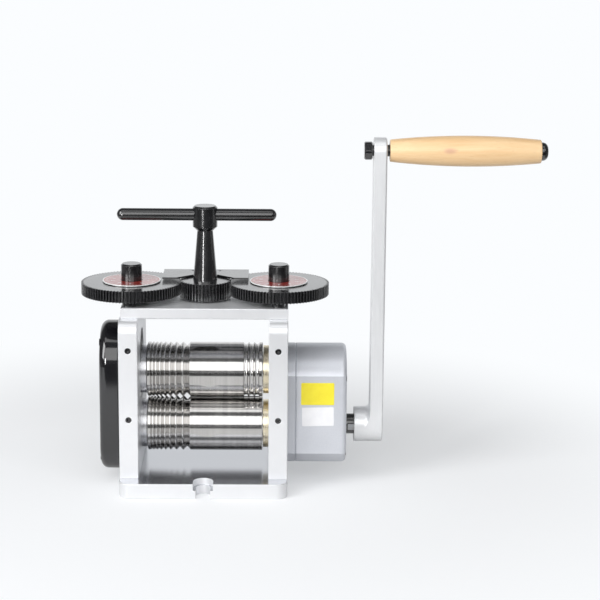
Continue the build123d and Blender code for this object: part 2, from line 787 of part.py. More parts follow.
def gearbox_screws():
    length = gearbox_depth + gearbox_back_thickness + screw_hold - m4_head_height - face_gap
    screw = cap_screw(m4_head_radius, m4_head_height, m4_radius, length)
    seat = gearbox_outer - m4_head_height
    return place_all(screw, [Pos(seat, y, z) * Rot(0, 90, 0) for y, z in gearbox_screw_places])


def layshaft_bushes():
    bush = ring_x(layshaft_bush_radius, layshaft_journal_radius + running_clearance,
                  0, layshaft_bush_length, layshaft_z)
    outer_start = gearbox_inner_wall - crankshaft_boss_length
    return place_all(bush, [Pos(gearbox_face - layshaft_bush_length, 0, 0), Pos(outer_start, 0, 0)])


def crankshaft_bush():
    start = gearbox_inner_wall - crankshaft_boss_length
    return ring_x(crankshaft_bush_radius, crankshaft_radius + running_clearance,
                  start, gearbox_outer, lower_axis_z)


def drive_gear():
    face = standard_gear(roll_drive_teeth, drive_module, drive_tooth_thinning, 90)
    gear = extrude(side_plane(drive_start, 0, lower_axis_z) * face, drive_width)
    gear -= rod_x(gear_seat_radius + seat_clearance, drive_start, drive_end, lower_axis_z)
    return gear - drive_gear_key()


def drive_gear_clip():
    return clip_x(drive_end + face_gap, lower_axis_z, gear_seat_radius, 180)


def layshaft_key():
    return key_x(wheel_start, wheel_end, layshaft_z, layshaft_seat_radius)


def layshaft():
    """Shaft with the small pinion cut in it and a seat for the wheel."""
    start = gearbox_face - layshaft_bush_length + end_play
    inner_shoulder = gearbox_face + end_play
    outer_shoulder = gearbox_inner_wall - crankshaft_boss_length - end_play
    end = outer_shoulder + layshaft_bush_length
    outline = [(start, layshaft_journal_radius), (inner_shoulder, layshaft_journal_radius),
               (inner_shoulder, layshaft_seat_radius), (outer_shoulder, layshaft_seat_radius),
               (outer_shoulder, layshaft_journal_radius), (end, layshaft_journal_radius)]
    face = standard_gear(layshaft_teeth, drive_module, drive_tooth_thinning, -90 + 180 / layshaft_teeth)
    pinion = extrude(side_plane(drive_start, 0, layshaft_z) * face, drive_width)
    return turned_x(outline, layshaft_z) + pinion - layshaft_key()


def layshaft_wheel():
    face = standard_gear(wheel_teeth, drive_module, drive_tooth_thinning, -90 + 180 / wheel_teeth)
    wheel = extrude(side_plane(wheel_start, 0, layshaft_z) * face, drive_width)
    wheel -= rod_x(layshaft_seat_radius + seat_clearance, wheel_start, wheel_end, layshaft_z)
    return wheel - layshaft_key()


# ---------------------------------------------------------------- crank
def crank_key():
    """Key on the front of the crankshaft; it shows between the gearbox and the hub."""
    return key_x(gearbox_outer + crank_key_start, crank_inner, lower_axis_z, crankshaft_radius, 180)


def crankshaft():
    """Shaft with its pinion cut in the inner end."""
    end = crank_outer - face_gap
    outline = [(wheel_start, crankshaft_radius), (end - shaft_chamfer, crankshaft_radius),
               (end, crankshaft_radius - shaft_chamfer)]
    face = standard_gear(crank_teeth, drive_module, drive_tooth_thinning, 90)
    pinion = extrude(side_plane(wheel_start, 0, lower_axis_z) * face, drive_width)
    return turned_x(outline, lower_axis_z) + pinion - crank_key()


def crank_neck(arm_outline):
    """Hollow round between the hub and the arm, inside the arm's outline."""
    start = crank_inner - crank_neck_radius
    rim = crank_hub_radius + crank_neck_radius
    ring = ring_x(rim, crank_hub_radius, start, crank_inner, lower_axis_z)
    hollow = revolve(Plane.XZ * Pos(start, rim) * Circle(crank_neck_radius), Axis.X)
    inside = extrude(side_plane(start, 0, lower_axis_z) * arm_outline, crank_neck_radius)
    return (ring - Pos(0, 0, lower_axis_z) * hollow) & inside


def crank_arm():
    """Flat tapered arm with a round hub at its foot."""
    foot = Circle(crank_hub_radius)
    top = Pos(0, crank_length) * Circle(crank_arm_end_radius)
    outline = make_hull(foot.edges() + top.edges())
    arm = extrude(side_plane(crank_inner, 0, lower_axis_z) * outline, crank_arm_thickness)
    arm += rod_x(crank_hub_radius, crank_hub_start, crank_inner, lower_axis_z)
    arm += crank_neck(outline)
    rim = arm.edges().group_by(Axis.X)[-1]
    arm = fillet(rim, crank_arm_edge_radius)
    arm -= rod_x(crankshaft_radius + seat_clearance, crank_hub_start, crank_outer, lower_axis_z)
    arm -= crank_key()
    arm -= rod_x(handle_bolt_radius + seat_clearance, crank_inner, crank_outer, grip_axis_z)
    arm -= rod_y(m4_clear, 0, crank_hub_radius, crank_hub_start + crank_grub_screw_inset, lower_axis_z)
    return arm


def crank_grub_screw():
    """Headless screw that locks the hub, from the back."""
    length = crank_hub_radius - crankshaft_radius - grub_screw_sink
    body = rod_z(m4_radius, -length, 0) - extrude(hexagon(m4_radius * socket_ratio), -grub_socket_depth)
    x = crank_hub_start + crank_grub_screw_inset
    return Pos(x, crank_hub_radius - grub_screw_sink, lower_axis_z) * Rot(-90, 0, 0) * body


def handle_bolt():
    """Spindle of the grip with a domed head at the far end."""
    end = grip_end + face_gap
    shank = rod_x(handle_bolt_radius, nut_start, end, grip_axis_z)
    head = rod_x(handle_bolt_head_radius, end, end + handle_bolt_head_height, grip_axis_z)
    head = fillet(head.edges().group_by(Axis.X)[-1], handle_bolt_dome)
    return shank + head


def handle_nut():
    """Hexagon nut with its corners turned round and both rims chamfered."""
    end = nut_start + handle_nut_thickness
    flats = side_plane(nut_start, 0, grip_axis_z) * hexagon(handle_nut_flats / 2)
    blank = rod_x(handle_nut_radius, nut_start, end, grip_axis_z)
    rims = blank.edges().group_by(Axis.X)
    blank = chamfer(rims[0] + rims[-1], handle_nut_chamfer)
    hole = rod_x(handle_bolt_radius + seat_clearance, nut_start, end, grip_axis_z)
    return (blank & extrude(flats, handle_nut_thickness)) - hole


def handle_spacers():
    """Short sleeves on the bolt, one each side of the arm."""
    hole = handle_bolt_radius + seat_clearance
    inner = ring_x(inner_spacer_radius, hole, crank_inner - inner_spacer_length, crank_inner, grip_axis_z)
    outer = ring_x(outer_spacer_radius, hole, crank_outer, crank_outer + outer_spacer_length, grip_axis_z)
    return Compound([inner, outer])


def wooden_grip():
    """Barrel-shaped grip that turns on its bolt."""
    inner_rim, outer_rim = (grip_start, grip_inner_end_radius), (grip_end, grip_outer_end_radius)
    belly = ((grip_start + grip_end) / 2, grip_belly_radius)
    edges = [Line((grip_start, 0), inner_rim),
             ThreePointArc(inner_rim, belly, outer_rim),
             Line(outer_rim, (grip_end, 0)),
             Line((grip_end, 0), (grip_start, 0))]
    grip = Pos(0, 0, grip_axis_z) * revolve(Plane.XZ * make_face(edges), Axis.X)
    grip = fillet(grip.edges().filter_by(GeomType.CIRCLE), grip_edge_radius)
    return grip - rod_x(handle_bolt_radius + grip_clearance, grip_start, grip_end, grip_axis_z)


# ---------------------------------------------------------------- roll adjustment
def column_bush():
    return ring_z(column_bush_radius, column_spindle_radius + running_clearance, upright_top_z, plate_top_z)


def centre_gear():
    face = standard_gear(centre_teeth, adjust_module, adjust_tooth_thinning, 0)
    gear = extrude(Pos(0, 0, centre_gear_z) * face, centre_gear_thickness)
    gear += rod_z(centre_gear_collar_radius, centre_gear_z - centre_gear_collar_height, centre_gear_z)
    return gear - rod_z(column_spindle_radius + seat_clearance, plate_top_z, centre_gear_top_z)


def t_column():
    """Tapered column with a hub for the bar and a spindle through gear and plate."""
    low = centre_gear_top_z
    bar_z = low + bar_height
    hub_top = bar_z + bar_radius + column_hub_over_bar
    hub_foot = bar_z - bar_radius - column_hub_under_bar
    nut_z = upright_top_z - face_gap - column_nut_thickness
    outline = [(column_spindle_radius - shaft_chamfer, nut_z - shaft_end), (column_spindle_radius, nut_z),
               (column_spindle_radius, low), (column_foot_radius, low),
               (column_neck_radius, hub_foot - column_flare_height),
               (column_hub_radius, hub_foot),
               (column_hub_radius, hub_top - column_hub_chamfer),
               (column_hub_radius - column_hub_chamfer, hub_top)]
    bar_hole = rod_x(bar_radius + seat_clearance, -column_hub_radius, column_hub_radius, bar_z)
    return turned_z(outline) - bar_hole


def t_bar():
    """Round bar with domed ends."""
    start = bar_offset - bar_length / 2
    bar = rod_x(bar_radius, start, start + bar_length, centre_gear_top_z + bar_height)
    return fillet(bar.edges().filter_by(GeomType.CIRCLE), bar_end_radius)


def column_nut():
    top = upright_top_z - face_gap
    nut = extrude(Pos(0, 0, top - column_nut_thickness) * hexagon(column_nut_flats / 2), column_nut_thickness)
    return nut - rod_z(column_spindle_radius + seat_clearance, top - column_nut_thickness, top)


def flatted_rod(radius, flat_y, start, end, x):
    """Upright round bar with a flat on its back."""
    return rod_z(radius, start, end, x) - block((x - radius, x + radius), (flat_y, radius), (start, end))


def adjusting_gear(side):
    face = standard_gear(side_teeth, adjust_module, adjust_tooth_thinning, 180 / side_teeth)
    x = side * screw_x
    gear = extrude(Pos(x, 0, side_gear_z) * face, side_gear_thickness)
    gear += rod_z(side_gear_boss_radius, side_gear_z - side_gear_boss_height, side_gear_z, x)
    gear += rod_z(dial_seat_radius, dial_z - dial_seat_height, dial_z, x)
    bore = flatted_rod(post_radius + running_clearance, post_radius - post_flat_depth + running_clearance,
                       plate_top_z, dial_z, x)
    return gear - bore


def dial(side):
    x = side * screw_x
    return ring_z(dial_radius, post_radius + part_gap, dial_z, dial_z + dial_thickness, x)


def adjusting_screw(side):
    """Screw that presses a bearing block down; its upper end slides through the gear."""
    x = side * screw_x
    shoulder = plate_top_z - post_root_depth
    tip = block_top_z + face_gap
    outline = [(screw_tip_radius, tip), (screw_tip_radius, tip + screw_tip_length),
               (adjusting_screw_radius, tip + screw_tip_length), (adjusting_screw_radius, shoulder),
               (post_radius, shoulder), (post_radius, post_top_z - post_chamfer),
               (post_radius - post_chamfer, post_top_z)]
    flat_y = post_radius - post_flat_depth
    flat = block((x - post_radius, x + post_radius), (flat_y, post_radius), (shoulder, post_top_z))
    return turned_z(outline, x) - flat


def retainer_block():
    half = retainer_block_width / 2
    y_range = (retainer_block_y, retainer_block_y + retainer_block_depth)
    body = block((-half, half), y_range, (plate_top_z, retainer_z))
    for x in (-retainer_screw_x, retainer_screw_x):
        body -= rod_z(m3_clear, plate_top_z, retainer_z, x, retainer_screw_y)
    return body


def retainer_plate():
    """Thin plate over the gears, notched for the column."""
    back_y = retainer_block_y + retainer_block_depth
    notch_y = column_foot_radius + retainer_notch_space
    half, top = retainer_half_width, retainer_z + retainer_thickness
    outline = Polyline((-half, retainer_front_y), (-half, back_y), (half, back_y), (half, retainer_front_y),
                       (retainer_notch_front, retainer_front_y), (retainer_notch_back, notch_y),
                       (-retainer_notch_back, notch_y), (-retainer_notch_front, retainer_front_y), close=True)
    plate = extrude(Pos(0, 0, retainer_z) * make_face(outline), retainer_thickness)
    for x in (-retainer_screw_x, retainer_screw_x):
        plate -= Pos(x, retainer_screw_y, top) * sunk_hole(m3_sunk_head_radius, m3_radius, retainer_thickness)
    return plate


def retainer_screws():
    top = retainer_z + retainer_thickness
    screw = sunk_screw(m3_sunk_head_radius, m3_radius, top - upright_top_z - face_gap)
    return place_all(screw, [Pos(x, retainer_screw_y, top) for x in (-retainer_screw_x, retainer_screw_x)])


# ---------------------------------------------------------------- all pieces, by name
pieces = {
    "base_plate": base_plate(),
    "left_upright": upright(-1),
    "right_upright": upright(1),
    "base_screws": base_screws(),
    "top_plate": top_plate(),
    "top_plate_screws": top_plate_screws(),
    "grub_screws": grub_screws(),
    "lower_left_bush": flanged_bush(-1, lower_axis_z, bush_outer_radius),
    "lower_right_bush": flanged_bush(1, lower_axis_z, bush_outer_radius),
    "left_springs": springs(-1),
    "right_springs": springs(1),
    "retainer_block": retainer_block(),
    "retainer_plate": retainer_plate(),
    "retainer_screws": retainer_screws(),
    "column_bush": column_bush(),
    "guard_back_plate": guard_back_plate(),
    "gear_guard": gear_guard(),
    "guard_screws": guard_screws(),
    "gearbox_back_plate": gearbox_back_plate(),
    "gearbox_cover": gearbox_cover(),
    "gearbox_screws": gearbox_screws(),
    "layshaft_bushes": layshaft_bushes(),
    "crankshaft_bush": crankshaft_bush(),
    "centre_gear": centre_gear(),
    "t_column": t_column(),
    "t_bar": t_bar(),
    "column_nut": column_nut(),
    "left_adjusting_gear": adjusting_gear(-1),
    "left_dial": dial(-1),
    "right_adjusting_gear": adjusting_gear(1),
    "right_dial": dial(1),
    "left_adjusting_screw": adjusting_screw(-1),
    "right_adjusting_screw": adjusting_screw(1),
    "upper_left_block": bearing_block(-1),
    "upper_right_block": bearing_block(1),
    "upper_left_bush": flanged_bush(-1, upper_axis_z, bush_outer_radius),
    "upper_right_bush": flanged_bush(1, upper_axis_z, bush_outer_radius),
    "upper_roll": upper_roll(),
    "upper_sync_gear": upper_sync_gear(),
    "upper_sync_key": upper_sync_key(),
    "upper_sync_clip": sync_clip(upper_axis_z),
    "lower_roll": lower_roll(),
    "lower_sync_gear": lower_sync_gear(),
    "lower_sync_key": lower_sync_key(),
    "lower_sync_clip": sync_clip(lower_axis_z),
    "drive_gear": drive_gear(),
    "drive_gear_key": drive_gear_key(),
    "drive_gear_clip": drive_gear_clip(),
    "layshaft": layshaft(),
    "layshaft_wheel": layshaft_wheel(),
    "layshaft_key": layshaft_key(),
    "crankshaft": crankshaft(),
    "crank_key": crank_key(),
    "crank_arm": crank_arm(),
    "crank_grub_screw": crank_grub_screw(),
    "handle_bolt": handle_bolt(),
    "handle_nut": handle_nut(),
    "handle_spacers": handle_spacers(),
    "wooden_grip": wooden_grip(),
}

os.makedirs("parts", exist_ok=True)
for name, shape in pieces.items():
    export_step(shape, f"parts/{name}.step")
print(len(pieces), "pieces written")
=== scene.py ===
# %% [markdown]
# # A jewellers' rolling mill
#
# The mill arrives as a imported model: every plate, roll, gear and screw is already there at its real
# size, in metres, with +X to the crank, +Y to the back and +Z up. This lesson lights the mill as a
# catalogue would, gives each piece the finish of the real one, and adds the few thin things that a
# drawing leaves out: the printed scales of the two dials and the stickers on the gearbox.

# %% Load the mill
import json
from math import cos, pi, radians, sin

import bpy
from mathutils import Matrix, Vector

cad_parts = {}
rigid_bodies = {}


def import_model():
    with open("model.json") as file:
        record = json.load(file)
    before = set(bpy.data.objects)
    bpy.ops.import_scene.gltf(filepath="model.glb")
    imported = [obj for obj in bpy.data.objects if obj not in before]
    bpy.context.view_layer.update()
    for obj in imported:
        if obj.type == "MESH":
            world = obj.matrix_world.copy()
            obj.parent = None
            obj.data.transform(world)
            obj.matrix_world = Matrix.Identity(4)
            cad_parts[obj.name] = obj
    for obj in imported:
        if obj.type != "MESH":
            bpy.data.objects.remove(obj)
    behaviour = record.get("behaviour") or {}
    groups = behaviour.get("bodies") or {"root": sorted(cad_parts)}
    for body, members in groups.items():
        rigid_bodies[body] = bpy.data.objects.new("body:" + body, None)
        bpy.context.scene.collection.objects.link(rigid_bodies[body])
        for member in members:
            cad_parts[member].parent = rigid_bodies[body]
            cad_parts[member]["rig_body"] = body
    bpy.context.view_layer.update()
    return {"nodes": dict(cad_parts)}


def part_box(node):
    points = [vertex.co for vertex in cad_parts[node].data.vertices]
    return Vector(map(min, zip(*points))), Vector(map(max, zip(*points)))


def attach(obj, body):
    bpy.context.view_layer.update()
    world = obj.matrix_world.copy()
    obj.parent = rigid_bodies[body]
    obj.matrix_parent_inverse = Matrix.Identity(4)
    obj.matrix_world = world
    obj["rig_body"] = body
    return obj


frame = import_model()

nodes = frame["nodes"]


def middle_of(node):
    """The centre of a node's box at rest."""
    low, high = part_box(node)
    return (Vector(low) + Vector(high)) / 2


# %% [markdown]
# ## The camera
#
# A catalogue picture of a bench tool is taken from a little over a metre away with a long lens, a bit
# above the tool, so that upright edges stay upright and the rolls are seen from in front. The lens was
# worked out from the picture's vanishing point. A Track To constraint could aim it, but three plain
# turns are easier to read: tilt down, a touch to the right, and a small roll.

# %% Camera
camera_place = Vector((0.0462, -1.2008, 0.3957))
camera_tilt = radians(90 - 12.9)
camera_turn = radians(-0.77)
camera_roll = radians(0.5)

camera_data = bpy.data.cameras.new("camera")
camera_data.lens = 112.2
camera_data.sensor_width = 36.0
camera_data.clip_end = 60.0
camera = bpy.data.objects.new("camera", camera_data)
bpy.context.scene.collection.objects.link(camera)
turn = Matrix.Rotation(camera_turn, 4, "Z") @ Matrix.Rotation(camera_tilt, 4, "X")
camera.matrix_world = Matrix.Translation(camera_place) @ turn @ Matrix.Rotation(camera_roll, 4, "Z")
bpy.context.scene.camera = camera
print("camera at", tuple(round(value, 3) for value in camera_place))

# %% [markdown]
# ## A helper for recipes
#
# A finish is a small tree of nodes. Written out in full, each tree is a page of links, so this helper
# gives the steps that most finishes share a short name: noise, a range, a sum, a blend.
# Every pattern is read in Object coordinates. The pieces sit at the origin with their place in their
# mesh, so these are plain metres, and a pattern stays on its piece when the piece turns.

# %% Recipe helper
class Recipe:
    """A node tree with short words for its steps."""

    mix_share, mix_first, mix_second, mix_result = 0, 6, 7, 2   # the Mix node's sockets for colours

    def __init__(self, tree, coordinates):
        self.tree = tree
        self.place = self.add("ShaderNodeTexCoord").outputs[coordinates]

    def add(self, kind, **settings):
        """A new node with its settings."""
        node = self.tree.nodes.new(kind)
        for key, value in settings.items():
            setattr(node, key, value)
        return node

    def feed(self, socket, value):
        """Link an output to a socket, or write a plain value on it."""
        if isinstance(value, bpy.types.NodeSocket):
            self.tree.links.new(value, socket)
        else:
            socket.default_value = value

    def moved(self, scale=(1, 1, 1), place=(0, 0, 0)):
        """The coordinates, scaled and shifted."""
        mapping = self.add("ShaderNodeMapping")
        self.feed(mapping.inputs["Vector"], self.place)
        mapping.inputs["Location"].default_value = place
        mapping.inputs["Scale"].default_value = scale
        return mapping.outputs["Vector"]

    def noise(self, scale, stretch=(1, 1, 1), detail=4.0, rough=0.55, warp=0.0):
        """Cloudy noise from 0 to 1; scale counts lumps in a metre, a small stretch makes them long."""
        node = self.add("ShaderNodeTexNoise")
        self.feed(node.inputs["Vector"], self.moved(stretch))
        node.inputs["Scale"].default_value = scale
        node.inputs["Detail"].default_value = detail
        node.inputs["Roughness"].default_value = rough
        node.inputs["Distortion"].default_value = warp
        return node.outputs["Fac"]

    def ranged(self, value, low, high, new_low=0.0, new_high=1.0, way="LINEAR"):
        """The value carried from one range to another, and held inside it."""
        node = self.add("ShaderNodeMapRange", interpolation_type=way)
        for key, item in (("Value", value), ("From Min", low), ("From Max", high),
                          ("To Min", new_low), ("To Max", new_high)):
            self.feed(node.inputs[key], item)
        return node.outputs["Result"]

    def sum_of(self, operation, first, second=0.0, third=0.0):
        """One step of arithmetic."""
        node = self.add("ShaderNodeMath", operation=operation)
        for socket, value in zip(node.inputs, (first, second, third)):
            self.feed(socket, value)
        return node.outputs[0]

    def blend(self, share, first, second):
        """A colour between two colours."""
        node = self.add("ShaderNodeMix", data_type="RGBA")
        self.feed(node.inputs[self.mix_share], share)
        self.feed(node.inputs[self.mix_first], first)
        self.feed(node.inputs[self.mix_second], second)
        return node.outputs[self.mix_result]

    def parts(self, vector=None):
        """The x, y and z of a vector."""
        node = self.add("ShaderNodeSeparateXYZ")
        self.feed(node.inputs[0], vector or self.place)
        return node.outputs

    def length_of(self, vector):
        """The length of a vector."""
        node = self.add("ShaderNodeVectorMath", operation="LENGTH")
        self.feed(node.inputs[0], vector)
        return node.outputs["Value"]

    def seen_rays(self):
        """Two shares: 1 where the camera looks, and 1 where a mirror or glass looks."""
        rays = self.add("ShaderNodeLightPath").outputs
        mirrored = self.sum_of("MAXIMUM", rays["Is Glossy Ray"], rays["Is Transmission Ray"])
        return rays["Is Camera Ray"], mirrored


# %% [markdown]
# ## A helper for finishes
#
# A finish is a recipe that ends in the Principled shader, and two more steps are shared here. Relief
# turns noise into small bumps. Worn edges come from the Bevel node, which tells how a rounded edge
# would face: where that differs from the flat face there is an edge, and it is rubbed bright. A bevel
# on the mesh would do it too, but this way the mesh stays as the drawing gives it.

# %% Finish helper
class Finish(Recipe):
    """A material built on the Principled shader."""

    flat_match, edge_match = 0.995, 0.80    # cosine between the rounded and the flat normal

    def __init__(self, name):
        self.material = bpy.data.materials.new(name)
        self.material.use_nodes = True
        super().__init__(self.material.node_tree, "Object")
        self.shader = self.tree.nodes["Principled BSDF"]
        self.output = self.tree.nodes["Material Output"]
        print("finish", name)

    def set(self, **values):
        """Write values on the shader's own sockets; an underscore stands for a space."""
        for key, value in values.items():
            self.feed(self.shader.inputs[key.replace("_", " ")], value)

    def relief(self, height, depth, normal=None):
        """Small bumps, depth in metres."""
        node = self.add("ShaderNodeBump")
        node.inputs["Distance"].default_value = depth
        self.feed(node.inputs["Height"], height)
        if normal:
            self.feed(node.inputs["Normal"], normal)
        self.feed(self.shader.inputs["Normal"], node.outputs["Normal"])

    def worn_edges(self, radius):
        """0 on a flat face, 1 on a sharp edge, and the normal of the edge as if it were rubbed round."""
        rounded = self.add("ShaderNodeBevel", samples=4)
        rounded.inputs["Radius"].default_value = radius
        flat = self.add("ShaderNodeNewGeometry").outputs["Normal"]
        across = self.add("ShaderNodeVectorMath", operation="DOT_PRODUCT")
        self.feed(across.inputs[0], rounded.outputs["Normal"])
        self.feed(across.inputs[1], flat)
        edge = self.ranged(across.outputs["Value"], self.flat_match, self.edge_match)
        return edge, rounded.outputs["Normal"]


# %% Colours
def grey(level):
    """A grey, in linear light and with its alpha."""
    return (level, level, level, 1.0)


def tone(red, green, blue):
    """A colour, in linear light and with its alpha."""
    return (red, green, blue, 1.0)


# %% [markdown]
# ## The table
#
# The mill stands on white paper. A real sweep of paper needs a lot of light to turn white, and that
# light would burn out the plated steel. So the camera sees a paper that glows a little by itself, and
# still loses light in the shadows. A mirror sees plain white paper as wide as a studio roll, with a
# grey room past its edges, and the soft light that bounces on to the mill comes from a duller paper.
# Far from the mill the paper fades into the white wall behind.

# %% Floor
floor_half = 14.0
shadow_inner, shadow_outer = 0.17, 0.40     # shadows are kept inside, and plain white is outside
shadow_share = 0.62                         # of the paper's brightness that a shadow can take away
bounce_white, mirror_white = 0.55, 0.95     # the paper, for soft light and for mirrors
sweep_half, sweep_spread = 0.30, 0.5        # half its width at the mill, and how it widens to the back
sweep_blur, room_grey = 0.1, 0.22           # its soft edge, and the room past it
lit_paper = tone(0.60, 0.605, 0.615)
wall_white = tone(0.965, 0.983, 1.0)

bpy.ops.object.select_all(action="DESELECT")
bpy.ops.mesh.primitive_grid_add(x_subdivisions=2, y_subdivisions=2, size=2 * floor_half)
floor = bpy.context.object
floor.name = "floor"
print("floor", 2 * floor_half, "m wide")

# %% Paper in a mirror
paper = Finish("floor_paper")
direct, mirrored = paper.seen_rays()
across, back, _ = paper.parts()
sweep_edge = paper.sum_of("MULTIPLY_ADD", paper.sum_of("MAXIMUM", back, 0.0), sweep_spread, sweep_half)
past_edge = paper.sum_of("SUBTRACT", paper.sum_of("ABSOLUTE", across), sweep_edge)
on_sweep = paper.ranged(past_edge, 0.0, sweep_blur, 1.0, 0.0)
mirror_tone = paper.blend(on_sweep, grey(room_grey), grey(mirror_white))
paper.set(Base_Color=paper.blend(mirrored, grey(bounce_white), mirror_tone), Roughness=1.0,
          Specular_IOR_Level=0.0)
print("paper sweep", 2 * sweep_half, "m wide at the mill")

# %% Paper in the picture
lit = paper.add("ShaderNodeBsdfDiffuse")
lit.inputs["Color"].default_value = lit_paper
own = paper.add("ShaderNodeEmission")
own.inputs["Color"].default_value = wall_white
own.inputs["Strength"].default_value = 1 - shadow_share
near = paper.add("ShaderNodeAddShader")
paper.feed(near.inputs[0], lit.outputs[0])
paper.feed(near.inputs[1], own.outputs[0])
far = paper.add("ShaderNodeEmission")
far_tone = paper.blend(paper.sum_of("MULTIPLY", mirrored, paper.sum_of("SUBTRACT", 1.0, on_sweep)),
                       wall_white, grey(room_grey))
paper.feed(far.inputs["Color"], far_tone)
shown = paper.add("ShaderNodeMixShader")
from_mill = paper.length_of(paper.moved((1, 1, 0)))
away = paper.ranged(from_mill, shadow_inner, shadow_outer, way="SMOOTHSTEP")
paper.feed(shown.inputs[0], away)
paper.feed(shown.inputs[1], near.outputs[0])
paper.feed(shown.inputs[2], far.outputs[0])
both = paper.add("ShaderNodeMixShader")
paper.feed(both.inputs[0], paper.sum_of("MAXIMUM", direct, paper.sum_of("MULTIPLY", mirrored, away)))
paper.feed(both.inputs[1], paper.shader.outputs[0])
paper.feed(both.inputs[2], shown.outputs[0])
paper.feed(paper.output.inputs["Surface"], both.outputs[0])
floor.data.materials.append(paper.material)
print("shadows within", shadow_outer, "m")

# %% [markdown]
# ## Dark cards
#
# Polished rolls are mirrors, so what they show is the room. The table ends just in front of the mill,
# and the dark room past it draws the thin dark lines across the rolls. A photographer would lay black
# card there, and so does this scene: one card from the table's edge towards the camera. A small card
# standing low behind the mill is painted shade, a dark sheet that keeps the gap between the rolls
# dark in the mirrors, where there is only shade. Only mirrors see the cards, so they leave no mark on
# the white paper.

# %% Cards
black_card = Finish("black_card")
black_card.set(Base_Color=grey(0.02), Roughness=0.9, Specular_IOR_Level=0.1)


def dark_card(name, centre, width, depth, tilt=0.0):
    """A card that only mirrors see; a quarter turn of tilt stands it up."""
    bpy.ops.object.select_all(action="DESELECT")
    bpy.ops.mesh.primitive_plane_add(size=1, location=centre, rotation=(tilt, 0, 0))
    card = bpy.context.object
    card.name = name
    card.scale = (width, depth, 1)
    bpy.ops.object.transform_apply(location=True, rotation=True, scale=True)
    card.visible_camera = False
    card.visible_diffuse = False
    card.visible_shadow = False
    card.data.materials.append(black_card.material)
    print(name, round(width, 3), "by", round(depth, 3), "m")


card_front, card_back, card_half, card_lift = -3.0, -0.27, 2.5, 0.0005
dark_card("table_edge_card", (0, (card_front + card_back) / 2, card_lift),
          2 * card_half, card_back - card_front)
# painted shade: a small dark card behind the rolls, seen only in mirrors, darkens the gap between them
shade_card_y, shade_card_low, shade_card_high, shade_card_half = 0.045, 0.046, 0.066, 0.036
dark_card("painted_shade_card", (0, shade_card_y, (shade_card_low + shade_card_high) / 2),
          2 * shade_card_half, shade_card_high - shade_card_low, tilt=pi / 2)

# %% [markdown]
# ## Lamps
#
# The rolls show every lamp as a bright band, so the lamps are softboxes in chosen places, where a bare
# lamp would give hard specks. The one in front, above the camera, draws the white band along each
# roll. The left one lights the plates and shows in the guard. A tall narrow lamp low on the left draws
# the highlights on the round black parts. One overhead shines on the tops, and a weak one on the right
# fills the shadows. A radiance of 1 would show white in a perfect mirror.

# %% Softboxes
def softbox(name, azimuth, elevation, distance, width, height, radiance):
    """A lamp that faces the mill; azimuth is in degrees from straight in front, positive to the right."""
    data = bpy.data.lights.new(name, "AREA")
    data.shape = "RECTANGLE"
    data.size = width
    data.size_y = height
    data.energy = radiance * pi * width * height
    box = bpy.data.objects.new(name, data)
    box.visible_camera = False
    bpy.context.scene.collection.objects.link(box)
    across, rise = radians(azimuth), radians(elevation)
    toward = Vector((sin(across) * cos(rise), -cos(across) * cos(rise), sin(rise)))
    box.location = mill_middle + toward * distance
    box.rotation_euler = (-toward).to_track_quat("-Z", "Y").to_euler()
    print(name, round(data.energy, 1), "W")


mill_middle = Vector((0.05, 0.0, 0.08))
softboxes = {                   # azimuth, elevation, distance, width, height, radiance
    "front_softbox": (0, 26, 2.2, 2.0, 1.45, 2.0),
    "left_softbox": (-52, 27, 2.0, 1.0, 1.45, 5.6),
    "strip_light": (-23, 3.9, 1.1, 0.08, 0.30, 30.0),
    "top_softbox": (0, 71, 1.6, 1.8, 0.5, 1.3),
    "right_fill": (42, 32, 2.0, 0.5, 0.8, 2.0),
}
for name, setting in softboxes.items():
    softbox(name, *setting)

# %% [markdown]
# ## The room around
#
# The camera sees a white room. The soft light that lands on the mill is much weaker, so the plates
# keep their shading, and a mirror sees a dark ceiling with a white wall behind the mill. The Light
# Path node tells the three apart, so one sky does the work of three.

# %% Sky
soft_light = 0.26           # what lands on the mill from all round
dark_room = 0.14            # what a mirror sees overhead and in front
overhead_edge, wall_top = 0.66, 0.36        # height of the white wall, as the sine of its angle
wall_side, wall_middle = 0.55, 0.85         # how far round it goes, as the cosine from straight behind

world = bpy.data.worlds.new("studio")
bpy.context.scene.world = world
world.use_nodes = True
room = Recipe(world.node_tree, "Generated")
sky = world.node_tree.nodes["Background"]
sky.inputs["Color"].default_value = wall_white
heading = room.parts()
wall = room.ranged(heading["Z"], overhead_edge, wall_top, way="SMOOTHSTEP")
behind = room.ranged(heading["Y"], wall_side, wall_middle, way="SMOOTHSTEP")
mirror_level = room.ranged(room.sum_of("MULTIPLY", wall, behind), 0.0, 1.0, dark_room, 1.0)
direct, mirrored = room.seen_rays()
level = room.ranged(mirrored, 0.0, 1.0, soft_light, mirror_level)
room.feed(sky.inputs["Strength"], room.ranged(direct, 0.0, 1.0, level, 1.0))

bpy.context.scene.view_settings.view_transform = "Standard"
print("sky level", soft_light)
